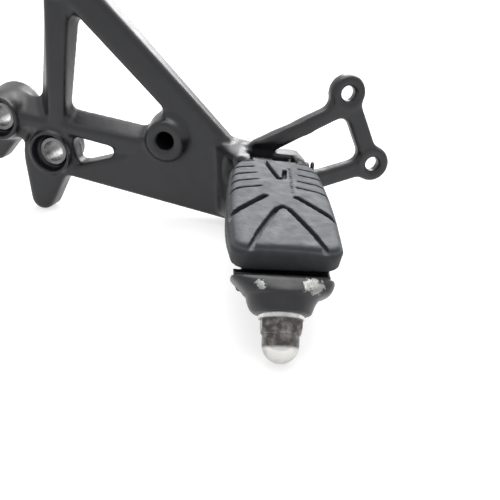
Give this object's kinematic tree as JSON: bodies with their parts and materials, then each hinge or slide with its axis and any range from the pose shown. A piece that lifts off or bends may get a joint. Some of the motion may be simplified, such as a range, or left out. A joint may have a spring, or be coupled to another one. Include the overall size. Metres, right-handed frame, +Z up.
{
  "type": "rearset bracket",
  "caption": "Left cast rearset bracket of a motorbike with frame bosses, a rear loop, and a folding, sprung footpeg with tread rubber and a domed bank sensor.",
  "frame": {"origin": "axis of the lower frame bore, on the inboard face that seats against the frame", "axes": "+X rearward along the cast plate, -Y outboard along the frame bolts, +Z up"},
  "size_m": [0.2134, 0.1435, 0.1278],
  "materials": {
    "casting": "satin black coated casting",
    "arm_casting": "satin black coated casting, scuffed",
    "rubber": "matt moulded rubber",
    "plated_steel": "dull zinc plating",
    "spring_steel": "oiled spring wire",
    "stainless": "turned stainless steel"
  },
  "bodies": {
    "bracket": {"step_holder": "casting", "lower_frame_collar": "plated_steel", "front_frame_collar": "plated_steel", "upper_frame_collar": "plated_steel", "pivot_pin": "plated_steel", "pivot_washer": "plated_steel", "split_pin": "plated_steel", "return_spring": "spring_steel"},
    "footpeg": {"peg_arm": "arm_casting", "tread_rubber": "rubber", "tread_insert": "plated_steel", "tread_bolt_inner": "plated_steel", "tread_bolt_outer": "plated_steel", "bank_sensor": "stainless", "bank_sensor_washer": "stainless"}
  },
  "joints": [
    {"name": "peg_fold", "type": "hinge", "parent": "bracket", "child": "footpeg", "pos_m": [0.1143, -0.028, -0.0022], "axis": [-0.9666, -0.241, 0.0872], "range_deg": [0, 60], "stiffness_Nm_per_rad": 0.3, "springref_deg": -114.59, "deforming": ["return_spring"]}
  ]
}
